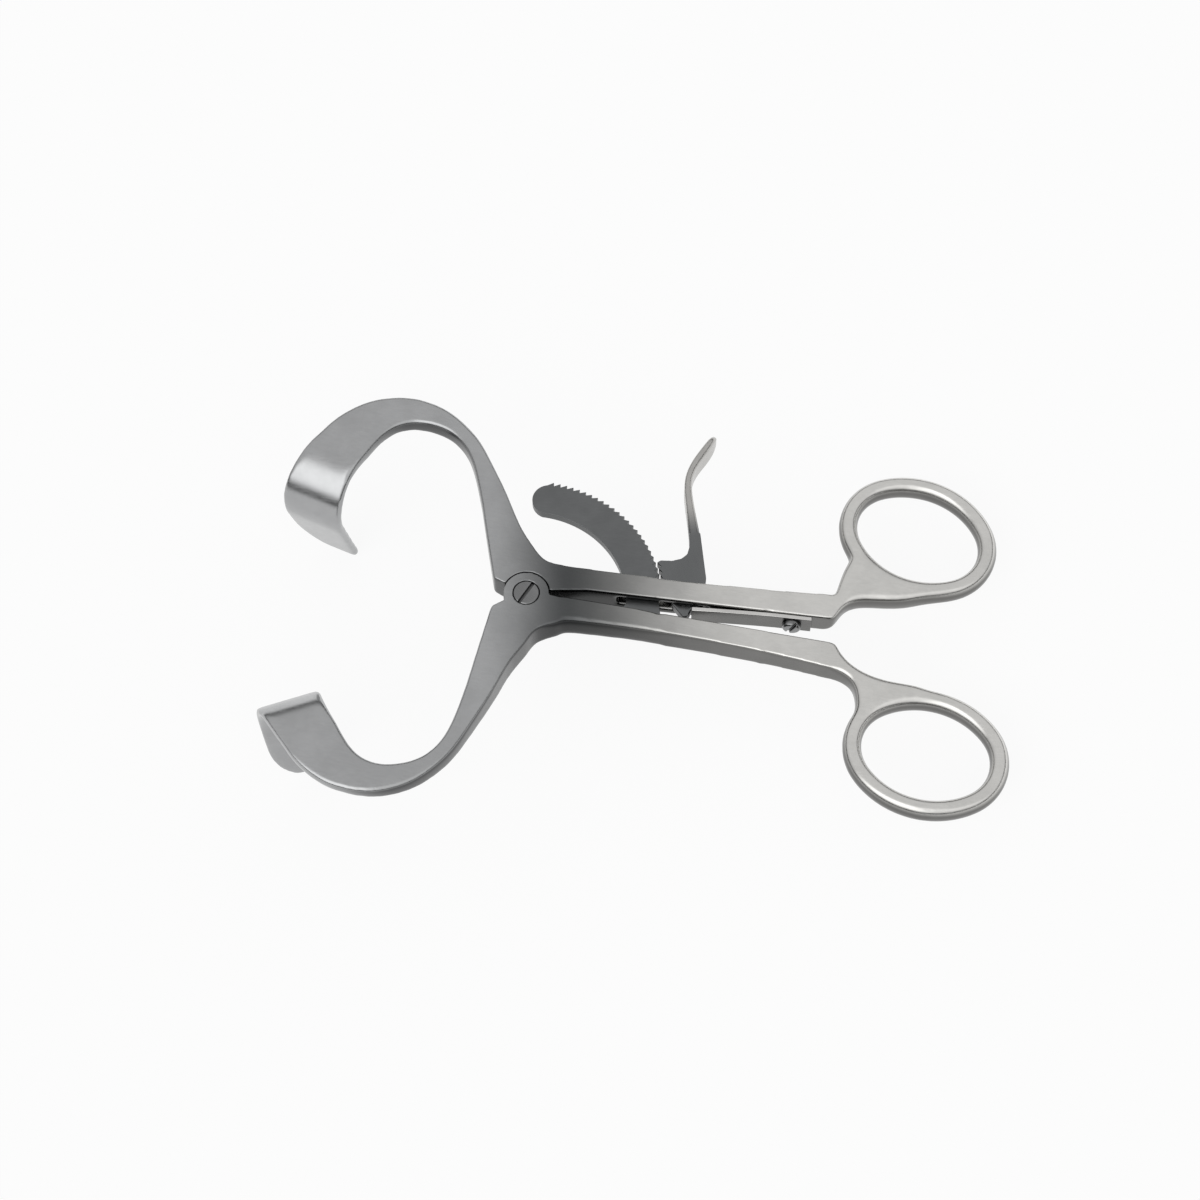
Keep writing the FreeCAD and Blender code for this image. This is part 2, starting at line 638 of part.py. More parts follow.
def build_rack_pins():
    """Two pins, ground flush with the tapered faces of the lower shank."""
    pins = []
    for k, (x, y) in enumerate(rack_pin_places(), start=1):
        pin = document.addObject("Part::Cylinder", "rack_pin_%d" % k)
        pin.setExpression("Radius", "Sizes.rackPinRadius")
        half = shank_half(LOWER, x - size("rackPinRadius")) - 0.04
        pin.Height = 2 * half
        px, py = turned(x, y, size("lowerShankAngle"))
        pin.Placement = Placement(Vector(px, py, -half), Rotation())
        pins.append(pin)
    group = document.addObject("Part::Compound", "rack_pins")
    group.Links = pins
    group.Label = "rack_pins"
    return group


# Pawl and its lever, drawn along the upper shank; their points are measured from the pawl's pin

PAWL_PLATE = [(-3.4, 7.1), (-1.8, 7.25), (-0.1, 7.9), (0.9, 9.0), (1.15, 10.7), (0.8, 13.5),
              (2.9, 13.9), (3.9, 9.3), (5.0, 4.3), (5.0, -0.3), (4.0, -2.15), (2.9, -2.6),
              (2.4, -4.1), (1.6, -4.5), (0.8, -3.7), (-0.6, -2.15), (-1.6, -0.7), (-3.1, 2.1),
              (-4.4, 3.7), (-5.4, 7.1)]


def pawl_pivot():
    """The pawl's pin in the upper arm's own frame."""
    return Vector(size("rackTipRadius") + size("pawlPivotX"), size("pawlPivotY"), 0)


PAWL_STEPS = 6           # turns of the pawl at which the rack's teeth are cut out of it
PAWL_EXTRA_TEETH = 9     # teeth past the rack's last, so that the whole of the pawl's nose is relieved


def build_pawl():
    body = new_body("pawl_lever")
    pivot = pawl_pivot()
    plate = new_sketch(body, "pawl_plate", polygon([(pivot.x + x, pivot.y + y) for x, y in PAWL_PLATE]))
    extrude(body, "Pad", "pawl_blank", plate, "pawlThickness")

    # Clear of the tooth tips as drawn, and fitting between the teeth as it turns in
    clear = size("rackTipRadius") + size("pawlClearance")
    tips = new_sketch(body, "pawl_tip_circle", [Part.Circle(Vector(0, 0, 0), Vector(0, 0, 1), clear)])
    extrude(body, "Pocket", "pawl_tip_clearance", tips, REACH)
    to_shank = Placement(Vector(0, 0, 0), Rotation(Vector(0, 0, 1), -size("upperShankAngle")))
    rack = [to_shank.multVec(p) for p in tooth_line(size("pawlClearance"), PAWL_EXTRA_TEETH)]
    for step in range(1, PAWL_STEPS + 1):
        turn = -size("pawlTurn") * step / PAWL_STEPS
        turn_in = Placement(Vector(0, 0, 0), Rotation(Vector(0, 0, 1), turn), pivot)
        teeth = [turn_in.multVec(p) for p in rack]
        outline = line_up(teeth + [turn_in.multVec(Vector(0, 0, 0)), teeth[0]])
        gaps = new_sketch(body, "pawl_tooth_gaps_%d" % step, outline)
        extrude(body, "Pocket", "pawl_teeth_%d" % step, gaps, REACH)
    bore(body, "pawl_hole", pivot.x, pivot.y, "pawlPinRadius", extra="runningClearance")
    return body


LEVER_STATIONS = [
    # x, y of the section's middle, turn of its thickness from the shank's direction, thickness, width
    (2.2, 11.3, -8.0, 2.3, 2.2),
    (1.7, 13.9, -8.0, 2.1, 2.6),
    (1.0, 16.7, -7.0, 1.8, 3.6),
    (0.05, 20.5, -10.0, 1.5, 4.5),
    (-0.5, 24.7, -2.0, 1.4, 4.8),
    (0.4, 28.5, 22.0, 1.4, 5.2),
    (2.1, 31.9, 24.0, 1.4, 5.6),
    (3.1, 34.1, 20.0, 1.2, 4.6),
    (3.5, 35.2, 20.0, 0.8, 2.4),
]


def lever_section(thickness, width):
    """A flat bar's section with bevelled corners."""
    a, b = thickness / 2, width / 2
    c = 0.3 * thickness
    return polygon([(-a + c, -b), (a - c, -b), (a, -b + c), (a, b - c),
                    (a - c, b), (-a + c, b), (-a, b - c), (-a, -b + c)])


def add_lever(body):
    """The stem turns from flat to broadside and ends in a spoon-shaped thumb rest."""
    sections = []
    up = Vector(0, 0, 1)
    for k, (x, y, lean, thickness, width) in enumerate(LEVER_STATIONS):
        across = Vector(*turned(1, 0, -lean), 0)
        frame = Placement(pawl_pivot() + Vector(x, y, 0), Rotation(across, up, across.cross(up), "XYZ"))
        sections.append(new_sketch(body, "lever_section_%d" % k, lever_section(thickness, width), frame))
    document.recompute()
    loft = body.newObject("PartDesign::AdditiveLoft", "lever_stem")
    loft.Profile = sections[0]
    loft.Sections = [(section, "") for section in sections[1:]]
    loft.Ruled = False
    document.recompute()
    return loft


def build_pawl_pin():
    pin = document.addObject("Part::Cylinder", "pawl_pin")
    pin.Label = "pawl_pin"
    pin.setExpression("Radius", "Sizes.pawlPinRadius")
    place = pawl_pivot()
    half = shank_half(UPPER, place.x + size("pawlPinRadius"))
    pin.Height = 2 * half
    pin.Placement = Placement(Vector(place.x, place.y, -half), Rotation())
    return pin


# Leaf spring and its screw, drawn in the upper arm's own frame

def seat_y(x):
    """The upper shank's inner edge, on which the spring is clamped."""
    start, shoulder = size("taperStart"), size("upperShoulder")
    y0, y1 = UPPER["inner"]
    return y0 + (x - start) / (shoulder - start) * (y1 - y0)


def seat_lean():
    """Turn of that edge from the shank's own direction, degrees."""
    y0, y1 = UPPER["inner"]
    return math.degrees(math.atan2(y1 - y0, size("upperShoulder") - size("taperStart")))


def spring_span():
    """The leaf spring's free tip, its screw and its clamped end, along the upper shank."""
    end = size("upperShoulder") - size("springEnd")
    return size("rackTipRadius") + size("springTip"), end - size("springScrewX"), end


def screw_place():
    """The spring screw's place: its axis is square to the spring's seat, and Z points out of the shank."""
    x = spring_span()[1]
    return at(x, seat_y(x), 0, seat_lean()).multiply(Placement(Vector(), Rotation(Vector(1, 0, 0), 90)))


def build_leaf_spring():
    body = new_body("leaf_spring")
    tip, screw, end = spring_span()
    wall, rise = size("springThickness"), size("springLift")
    clamp = screw - size("springClamp")
    middle = (tip + clamp) / 2
    stations = [(tip, seat_y(tip) - rise), (middle, seat_y(middle) - 0.38 * rise), (clamp, seat_y(clamp))]
    top = [Vector(x, y, 0) for x, y in stations]
    low = [p - Vector(0, wall, 0) for p in top]
    slope = Vector(*(end - clamp, seat_y(end) - seat_y(clamp), 0))
    end_top, end_low = Vector(end, seat_y(end), 0), Vector(end, seat_y(end) - wall, 0)
    profile = [
        spline(top, None, slope),
        Part.LineSegment(top[-1], end_top),
        Part.LineSegment(end_top, end_low),
        Part.LineSegment(end_low, low[-1]),
        spline(low[::-1], -slope, None),
        Part.LineSegment(low[0], top[0]),
    ]
    side = new_sketch(body, "spring_profile", profile)
    extrude(body, "Pad", "spring_strip", side, "springWidth")
    bore(body, "spring_screw_hole", 0, 0, "springThreadRadius", screw_place(), extra="runningClearance")
    return body


def build_screw(name, profile, slot_width, slot_depth, top, radius, slot_angle, place):
    """A turned screw with a driver slot in its head; profile is (radius, height) up to the head's top."""
    body = new_body(name)
    upright = Placement(Vector(0, 0, 0), Rotation(Vector(1, 0, 0), 90))
    half = new_sketch(body, name + "_profile", polygon(profile), upright)
    turn = body.newObject("PartDesign::Revolution", name + "_turned")
    turn.Profile = half
    turn.ReferenceAxis = (half, ["V_Axis"])
    turn.Angle = 360
    document.recompute()
    long = 2 * radius + ROOM
    frame = at(0, 0, top, slot_angle)
    half_width = size(slot_width) / 2
    bar = new_sketch(body, name + "_slot", polygon([(-long, -half_width), (long, -half_width),
                                                    (long, half_width), (-long, half_width)]), frame)
    extrude(body, "Pocket", name + "_slot_cut", bar, 2 * size(slot_depth))
    body.Placement = place
    return body


def build_pivot_screw():
    head, shoulder, thread = size("pivotHeadRadius"), size("pivotShoulderRadius"), size("pivotThreadRadius")
    under = HALF - size("pivotHeadHeight")
    profile = [(0, -HALF), (thread, -HALF), (thread, 0), (shoulder, 0), (shoulder, under), (head, under),
               (head, HALF - 0.2), (head - 0.2, HALF), (0, HALF)]
    return build_screw("pivot_screw", profile, "screwSlotWidth", "screwSlotDepth", HALF, head,
                       size("pivotSlotAngle"), Placement())


def build_spring_screw():
    head, height = size("springHeadRadius"), size("springHeadHeight")
    thread, length = size("springThreadRadius"), size("springThreadLength")
    base = -size("springThickness")
    profile = [(0, length), (thread, length), (thread, base), (head, base), (head, base - height + 0.3),
               (head - 0.3, base - height), (0, base - height)]
    profile = [(r, -z) for r, z in profile]
    return build_screw("spring_screw", profile, "screwSlotWidth", "screwSlotDepth",
                       size("springThickness") + height, head, size("springSlotAngle"), screw_place())


# Build the pieces

upper = build_arm("upper_arm", UPPER)
round_web(upper, "upper_arm", UPPER)
add_ring(upper, "upper_arm", UPPER)
cut_lap(upper, "upper_arm", UPPER)
bore(upper, "upper_thread", 0, 0, "pivotThreadRadius")
slot_near = size("rackInnerRadius") - size("slotStart")
slot_far = size("rackTipRadius") + size("slotEnd")
slot_top = max(UPPER["outer"]) + ROOM
slot(upper, "rack_slot", "slotWidth", [
    (slot_near, -ROOM), (slot_far, -ROOM), (slot_far, slot_top), (slot_near, slot_top)])
bore(upper, "pawl_pin_hole", pawl_pivot().x, pawl_pivot().y, "pawlPinRadius")
bore(upper, "spring_thread", 0, 0, "springThreadRadius", screw_place(), 2 * size("springThreadLength"))

lower = build_arm("lower_arm", LOWER)
round_web(lower, "lower_arm", LOWER)
add_ring(lower, "lower_arm", LOWER)
cut_lap(lower, "lower_arm", LOWER)
bore(lower, "pivot_hole", 0, 0, "pivotShoulderRadius", extra="runningClearance")
head_depth = size("pivotHeadHeight") + size("lapGap")
head_frame = at(0, 0, HALF)
bore(lower, "pivot_head_hole", 0, 0, "pivotHeadRadius", head_frame, 2 * head_depth, "runningClearance")
foot_near, foot_far = foot_span()
foot_top = -LOWER["inner"][0]
foot_deep = foot_top - size("rackFootDepth")
slot(lower, "rack_foot_slot", "rackThickness", [
    (foot_near, foot_top + ROOM), (foot_near, foot_deep), (foot_far, foot_deep), (foot_far, foot_top + ROOM)])
for number, (pin_x, pin_y) in enumerate(rack_pin_places(), start=1):
    bore(lower, "lower_pin_hole_%d" % number, pin_x, pin_y, "rackPinRadius")

rack = build_rack()
rack_pins = build_rack_pins()
pawl = build_pawl()
add_lever(pawl)
pawl_pin = build_pawl_pin()
leaf_spring = build_leaf_spring()
spring_screw = build_spring_screw()
pivot_screw = build_pivot_screw()

# Put the pieces together and lay the instrument down

upper_turn = at(0, 0, 0, size("upperShankAngle"))
lower_turn = at(0, 0, 0, size("lowerShankAngle"))
pieces = {
    upper: upper_turn, lower: lower_turn, rack: Placement(), rack_pins: Placement(), pawl: upper_turn,
    pawl_pin: upper_turn, leaf_spring: upper_turn, spring_screw: upper_turn, pivot_screw: Placement(),
}
for piece, turn in pieces.items():
    piece.Placement = lay_down().multiply(turn).multiply(piece.Placement)
document.recompute()

whole = Part.makeCompound([piece.Shape for piece in pieces])
box = whole.optimalBoundingBox(False, False)
lift = Vector(-(box.XMin + box.XMax) / 2, -(box.YMin + box.YMax) / 2, -box.ZMin)
for piece in pieces:
    piece.Placement = Placement(lift, Rotation()).multiply(piece.Placement)
document.recompute()

# Check every object, then write the pieces

for item in document.Objects:
    if "Invalid" in item.State or "Error" in item.State:
        raise RuntimeError(item.Name + " failed: " + str(item.State))
for piece in pieces:
    shape = piece.Shape
    if shape.isNull() or not shape.isValid():
        raise RuntimeError(piece.Label + " has no valid shape")
os.makedirs("parts", exist_ok=True)
for piece in pieces:
    piece.Shape.exportStep("parts/%s.step" % piece.Label)
    print(piece.Label, len(piece.Shape.Solids), round(piece.Shape.Volume, 2))
print("pivot", lift, "size", box.XLength, box.YLength, box.ZLength)
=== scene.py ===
"""Looks of the side-ratchet mouth gag: satin steel on a white table, seen as in the photograph."""

from bisect import bisect_left
from collections import namedtuple
import json
import math

import bmesh
import bpy
from mathutils import Matrix, Vector


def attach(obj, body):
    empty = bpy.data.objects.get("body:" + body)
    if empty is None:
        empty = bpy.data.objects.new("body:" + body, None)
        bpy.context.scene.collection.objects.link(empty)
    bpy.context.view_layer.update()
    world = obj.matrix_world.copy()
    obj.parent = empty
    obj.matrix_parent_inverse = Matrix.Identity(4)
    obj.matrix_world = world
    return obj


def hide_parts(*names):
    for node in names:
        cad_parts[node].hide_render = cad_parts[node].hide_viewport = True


MM = 0.001

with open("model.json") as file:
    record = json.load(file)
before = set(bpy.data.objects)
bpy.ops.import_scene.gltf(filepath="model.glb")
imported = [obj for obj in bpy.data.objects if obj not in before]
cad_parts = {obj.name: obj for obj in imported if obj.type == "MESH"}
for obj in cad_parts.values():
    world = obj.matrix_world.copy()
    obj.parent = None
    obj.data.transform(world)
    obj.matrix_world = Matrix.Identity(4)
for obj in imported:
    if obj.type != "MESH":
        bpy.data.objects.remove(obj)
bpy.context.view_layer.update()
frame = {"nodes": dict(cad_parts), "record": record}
nodes = frame["nodes"]

# The scissor frame: its origin on the pivot's axis at mid-thickness, X along the handles, Z out of the arms
hinge = next(joint for joint in frame["record"]["behaviour"]["joints"] if joint["name"] == "jaw_hinge")
pivot = Vector(hinge["pos_m"])
out_of_arms = Vector(hinge["axis"]).normalized()
across = Vector((0.0, 1.0, 0.0))
along = across.cross(out_of_arms).normalized()
scissor = Matrix((along, across, out_of_arms)).transposed().to_4x4()
scissor.translation = pivot
into_scissor = scissor.inverted()


def link_object(name, data):
    """A new object for a mesh or a camera, in the scene's own collection."""
    made = bpy.data.objects.new(name, data)
    bpy.context.scene.collection.objects.link(made)
    return made


# Camera: the photograph looks down on the instrument, 28 degrees off its axis, from half a metre

def add_camera():
    photo_size = 1200.0
    focal_px = 2700.0
    pivot_px = (526.2, 592.2)
    px_per_mm = 5.36
    lean = math.radians(28.0)
    arm_face = 3.15
    depth = focal_px / px_per_mm
    right = Vector((1.0, 0.0, 0.0))
    down = Vector((0.0, -math.cos(lean), -math.sin(lean)))
    away = Vector((0.0, math.sin(lean), -math.cos(lean)))
    offset_right = (pivot_px[0] - photo_size / 2) / px_per_mm
    offset_down = (pivot_px[1] - photo_size / 2) / px_per_mm
    place = Vector((0.0, 0.0, arm_face)) - right * offset_right - down * offset_down - away * depth
    data = bpy.data.cameras.new("photo_camera")
    data.sensor_width = 36.0
    data.lens = data.sensor_width * focal_px / photo_size
    data.clip_start = 0.01
    data.clip_end = 20.0
    camera = link_object("photo_camera", data)
    turn = Matrix((right, -down, -away)).transposed().to_4x4()
    camera.matrix_world = scissor @ Matrix.Translation(place * MM) @ turn
    bpy.context.scene.camera = camera


# Shader nodes and node groups

def smooth_step(tree, source, start, end, low=0.0, high=1.0):
    """A value that goes smoothly from low to high while its source goes from start to end."""
    step = tree.nodes.new("ShaderNodeMapRange")
    step.interpolation_type = "SMOOTHSTEP"
    step.inputs["From Min"].default_value = start
    step.inputs["From Max"].default_value = end
    step.inputs["To Min"].default_value = low
    step.inputs["To Max"].default_value = high
    tree.links.new(source, step.inputs["Value"])
    return step.outputs["Result"]


def calculate(tree, operation, first, second):
    """The result of a Math node whose inputs are sockets or numbers."""
    node = tree.nodes.new("ShaderNodeMath")
    node.operation = operation
    for socket, given in zip(node.inputs, (first, second)):
        if isinstance(given, (int, float)):
            socket.default_value = given
        else:
            tree.links.new(given, socket)
    return node.outputs[0]


def mix_colours(tree, factor, first, second):
    """A Mix node's colour; the colours are sockets or three numbers."""
    mix = tree.nodes.new("ShaderNodeMix")
    mix.data_type = "RGBA"
    tree.links.new(factor, mix.inputs["Factor"])
    for name, given in (("A", first), ("B", second)):
        if isinstance(given, tuple):
            mix.inputs[name].default_value = (*given, 1.0)
        else:
            tree.links.new(given, mix.inputs[name])
    return mix.outputs["Result"]


def new_group(name, inputs, outputs):
    """An empty node group with its sockets: inputs as (name, type, default), outputs as (name, type)."""
    group = bpy.data.node_groups.new(name, "ShaderNodeTree")
    for label, kind, value in inputs:
        socket = group.interface.new_socket(label, in_out="INPUT", socket_type=kind)
        if value is not None:
            socket.default_value = value
    for label, kind in outputs:
        group.interface.new_socket(label, in_out="OUTPUT", socket_type=kind)
    return group, group.nodes.new("NodeGroupInput"), group.nodes.new("NodeGroupOutput")


def brushed_grain_group():
    """Fine streaks along X, with slow changes of tone under them."""
    group, given, result = new_group("brushed_grain", [
        ("Vector", "NodeSocketVector", None),
        ("Streak Stretch", "NodeSocketFloat", 18.0),
        ("Streak Scale", "NodeSocketFloat", 3200.0),
        ("Cloud Scale", "NodeSocketFloat", 130.0),
    ], [("Streaks", "NodeSocketFloat"), ("Clouds", "NodeSocketFloat")])
    new, link = group.nodes.new, group.links.new
    squeeze = new("ShaderNodeVectorMath")
    squeeze.operation = "MULTIPLY"
    factors = new("ShaderNodeCombineXYZ")
    factors.inputs["Y"].default_value = 1.0
    factors.inputs["Z"].default_value = 1.0
    link(calculate(group, "DIVIDE", 1.0, given.outputs["Streak Stretch"]), factors.inputs["X"])
    link(given.outputs["Vector"], squeeze.inputs[0])
    link(factors.outputs[0], squeeze.inputs[1])
    for output, source, scale, detail in (
            ("Streaks", squeeze.outputs[0], "Streak Scale", 4.0),
            ("Clouds", given.outputs["Vector"], "Cloud Scale", 5.0)):
        noise = new("ShaderNodeTexNoise")
        noise.inputs["Detail"].default_value = detail
        noise.inputs["Roughness"].default_value = 0.6
        link(source, noise.inputs["Vector"])
        link(given.outputs[scale], noise.inputs["Scale"])
        link(noise.outputs["Fac"], result.inputs[output])
    return group


def painted_wall_shade_group():
    """Painted shade on walls: 1 on a face square to the pivot's axis, falling to the given wall value on a
    wall.
    """
    group, given, result = new_group("painted_wall_shade", [
        ("Normal", "NodeSocketVector", None),
        ("Wall Shade Level", "NodeSocketFloat", 0.4),
    ], [("Tone", "NodeSocketFloat")])
    full_wall, full_face = 0.2, 0.95
    facing = group.nodes.new("ShaderNodeVectorMath")
    facing.operation = "DOT_PRODUCT"
    facing.inputs[1].default_value = out_of_arms
    group.links.new(given.outputs["Normal"], facing.inputs[0])
    either_side = calculate(group, "ABSOLUTE", facing.outputs["Value"], 0.0)
    level = smooth_step(group, either_side, full_wall, full_face)
    range_up = calculate(group, "SUBTRACT", 1.0, given.outputs["Wall Shade Level"])
    raised = calculate(group, "MULTIPLY", level, range_up)
    group.links.new(calculate(group, "ADD", raised, given.outputs["Wall Shade Level"]), result.inputs["Tone"])
    return group


GRAIN = brushed_grain_group()
WALL_SHADE = painted_wall_shade_group()


# Materials

class SatinSteel:
    """Satin stainless steel: brush streaks in its tone, roughness and height, and faint clouds of tone.

    Brush_turn is the streaks' direction in degrees, clouds the share by which the tone varies, relief the
    strength of the streaks' bump, and the last argument the depth in mm within which gaps, slots and
    crevices get painted shade, darkened by an ambient occlusion node.
    """

    def __init__(self, name, roughness, brush_turn=0.0, clouds=0.06, relief=0.15, shade_reach=0.45):
        noise_range = (0.35, 0.65)
        open_range, deepest_painted_shade = (0.30, 0.80), 0.12
        self.material = bpy.data.materials.new(name)
        self.material.use_nodes = True
        self.tree = tree = self.material.node_tree
        new, link = tree.nodes.new, tree.links.new
        self.shader = tree.nodes["Principled BSDF"]
        self.shader.inputs["Metallic"].default_value = 1.0
        coordinates = new("ShaderNodeTexCoord")
        self.normal = coordinates.outputs["Normal"]
        split = new("ShaderNodeSeparateXYZ")
        link(coordinates.outputs["Object"], split.inputs[0])
        self.x, self.y = split.outputs["X"], split.outputs["Y"]
        turn = new("ShaderNodeMapping")
        turn.inputs["Rotation"].default_value[2] = math.radians(brush_turn)
        link(coordinates.outputs["Object"], turn.inputs["Vector"])
        grain = new("ShaderNodeGroup")
        grain.node_tree = GRAIN
        link(turn.outputs["Vector"], grain.inputs["Vector"])
        streaks = grain.outputs["Streaks"]
        streak_tone = smooth_step(tree, streaks, *noise_range, 1.0 - clouds / 2, 1.0 + clouds / 2)
        cloud_tone = smooth_step(tree, grain.outputs["Clouds"], *noise_range, 1.0 - clouds, 1.0 + clouds)
        # Painted shade: ambient occlusion darkens the colour in gaps, slots and crevices, where shade falls.
        occlusion_shade = new("ShaderNodeAmbientOcclusion")
        occlusion_shade.samples = 8
        occlusion_shade.inputs["Distance"].default_value = shade_reach * MM
        painted_shade_tone = smooth_step(tree, occlusion_shade.outputs["AO"], *open_range, deepest_painted_shade, 1.0)
        self.grain_and_painted_shade = calculate(tree, "MULTIPLY", streak_tone, cloud_tone)
        self.grain_and_painted_shade = calculate(tree, "MULTIPLY", self.grain_and_painted_shade, painted_shade_tone)
        rough = smooth_step(tree, streaks, 0.3, 0.7, roughness - 0.03, roughness + 0.05)
        link(rough, self.shader.inputs["Roughness"])
        bump = new("ShaderNodeBump")
        bump.inputs["Strength"].default_value = relief
        bump.inputs["Distance"].default_value = 0.01 * MM
        link(streaks, bump.inputs["Height"])
        link(bump.outputs["Normal"], self.shader.inputs["Normal"])

    def paint_wall_shade(self, wall_shade_level):
        """Paint shade on walls, darker than the faces square to the pivot's axis; the argument is a socket or
        a number.
        """
        faces = self.tree.nodes.new("ShaderNodeGroup")
        faces.node_tree = WALL_SHADE
        self.tree.links.new(self.normal, faces.inputs["Normal"])
        if isinstance(wall_shade_level, float):
            faces.inputs["Wall Shade Level"].default_value = wall_shade_level
        else:
            self.tree.links.new(wall_shade_level, faces.inputs["Wall Shade Level"])
        self.grain_and_painted_shade = calculate(self.tree, "MULTIPLY", self.grain_and_painted_shade, faces.outputs["Tone"])
        return self

    def tone(self, colour):
        """Set the steel's colour, a socket or three numbers, varied by streaks and clouds and darkened by
        painted shade in gaps and on walls.
        """
        grained_and_shaded = self.tree.nodes.new("ShaderNodeVectorMath")
        grained_and_shaded.operation = "SCALE"
        if isinstance(colour, tuple):
            grained_and_shaded.inputs[0].default_value = colour
        else:
            self.tree.links.new(colour, grained_and_shaded.inputs[0])
        self.tree.links.new(self.grain_and_painted_shade, grained_and_shaded.inputs["Scale"])
        self.tree.links.new(grained_and_shaded.outputs[0], self.shader.inputs["Base Color"])
        return self.material


# The shank, jaw and ring tones are one steel, lit and shaded: the dark shank tone is painted shade, the paler
# jaw and ring tones painted light.
SHADED_SHANK_TONE = (0.095, 0.099, 0.101)
JAW_TONE = (0.50, 0.505, 0.51)
LIT_RING_TONE = (0.80, 0.79, 0.765)
RACK_TONE = (0.19, 0.195, 0.198)
THUMB_REST_TONE = (0.56, 0.55, 0.53)
SCREW_TONE = (0.26, 0.262, 0.264)
SPRING_TONE = (0.78, 0.77, 0.75)


def arm_steel():
    """Painted shade makes the forgings darkest along the shanks by the pivot, and painted light makes them
    palest at the rings.
    """
    steel = SatinSteel("arm_satin", 0.22, brush_turn=12.0, clouds=0.045)
    # Painted shade on walls: light on the jaws' shelves, dark along the shanks.
    shelf_shade, shank_shade = 0.75, 0.20
    wall_shade_level = smooth_step(steel.tree, steel.x, pivot.x - 36 * MM, pivot.x - 22 * MM, shelf_shade, shank_shade)
    towards_jaws = smooth_step(steel.tree, steel.x, pivot.x + 9 * MM, pivot.x - 8 * MM)
    towards_rings = smooth_step(steel.tree, steel.x, pivot.x + 6 * MM, pivot.x + 42 * MM)
    inner = mix_colours(steel.tree, towards_jaws, SHADED_SHANK_TONE, JAW_TONE)
    return steel.paint_wall_shade(wall_shade_level).tone(mix_colours(steel.tree, towards_rings, inner, LIT_RING_TONE))


def lever_steel():
    """Painted shade makes the pawl's plate and its walls as dark as the rack; the lever is paler towards the
    thumb rest.
    """
    steel = SatinSteel("lever_satin", 0.24, brush_turn=75.0, clouds=0.03, relief=0.1)
    # Painted shade on walls: dark on the pawl's plate, light up the lever.
    plate_shade, lever_shade = 0.3, 0.85
    wall_shade_level = smooth_step(steel.tree, steel.y, pivot.y + 10 * MM, pivot.y + 16 * MM, plate_shade, lever_shade)
    # Painted shade: below this height the pawl's plate takes the rack's dark tone.
    up_lever = smooth_step(steel.tree, steel.y, pivot.y + 13 * MM, pivot.y + 20 * MM)
    return steel.paint_wall_shade(wall_shade_level).tone(mix_colours(steel.tree, up_lever, RACK_TONE, THUMB_REST_TONE))


ARM_STEEL = arm_steel()
LEVER_STEEL = lever_steel()
# Painted shade: the rack's and the spring's walls are painted darker than their faces.
RACK_STEEL = SatinSteel("rack_satin", 0.32, clouds=0.05).paint_wall_shade(0.6).tone(RACK_TONE)
SCREW_STEEL = SatinSteel("screw_turned", 0.26, brush_turn=40.0, shade_reach=1.1).tone(SCREW_TONE)
SPRING_STEEL = SatinSteel("spring_rolled", 0.25).paint_wall_shade(0.2).tone(SPRING_TONE)


# Pieces: each forging, plate, strip and screw is its solid with the edges rounded as they are ground

MERGE_DISTANCE = 0.02 * MM
FLAT_ANGLE = math.radians(0.6)       # triangles closer than this to one plane become one face
EDGE_ANGLE = math.radians(28.0)      # an edge sharper than this is rounded
CREASE_ANGLE = math.radians(32.0)    # an edge still sharper than this is shaded sharp

body_of_node = {}
for body_name, its_nodes in frame["record"]["behaviour"]["bodies"].items():
    for its_node in its_nodes:
        body_of_node[its_node] = body_name


def merged_copy(*its_nodes):
    """The nodes' triangles as closed surfaces, their doubles merged."""
    shape = bmesh.new()
    for node in its_nodes:
        shape.from_mesh(nodes[node].data)
    bmesh.ops.remove_doubles(shape, verts=shape.verts, dist=MERGE_DISTANCE)
    return shape


def mesh_of(name, shape):
    """A mesh made from a bmesh, which is used up."""
    mesh = bpy.data.meshes.new(name)
    shape.to_mesh(mesh)
    shape.free()
    return mesh


def add_piece(name, shape, node, steel, crease=math.pi):
    """Make a bmesh the piece that stands for a node; edges sharper than crease are shaded sharp."""
    mesh = mesh_of(name, shape)
    mesh.shade_smooth()
    mesh.set_sharp_from_angle(angle=crease)
    mesh.materials.append(steel)
    piece = link_object(name, mesh)
    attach(piece, body_of_node[node])
    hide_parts(node)
    return piece


def add_ground_piece(name, node, steel, radius):
    """Round the sharp edges of a plate, strip or screw, by a radius in mm."""
    shape = merged_copy(node)
    bmesh.ops.dissolve_limit(shape, angle_limit=FLAT_ANGLE, verts=shape.verts, edges=shape.edges)
    edges = [edge for edge in shape.edges if edge.is_manifold and edge.calc_face_angle(0.0) > EDGE_ANGLE]
    bmesh.ops.bevel(shape, geom=edges, offset=radius * MM, offset_type="OFFSET", segments=3, profile=0.5,
                    affect="EDGES", clamp_overlap=False, material=-1)
    piece = add_piece(name, shape, node, steel, CREASE_ANGLE)
    even = piece.modifiers.new("even_normals", "WEIGHTED_NORMAL")
    even.keep_sharp = True


# A zone of a forging in which its skin is smoothed. Depth tells how far in mm a point of the scissor frame
# lies inside it. The passes rise with the depth, up to a depth of reach, and swell puts back along the
# normals, in mm, what they take off a round bar.
Zone = namedtuple("Zone", "depth reach passes swell", defaults=(0.0,))


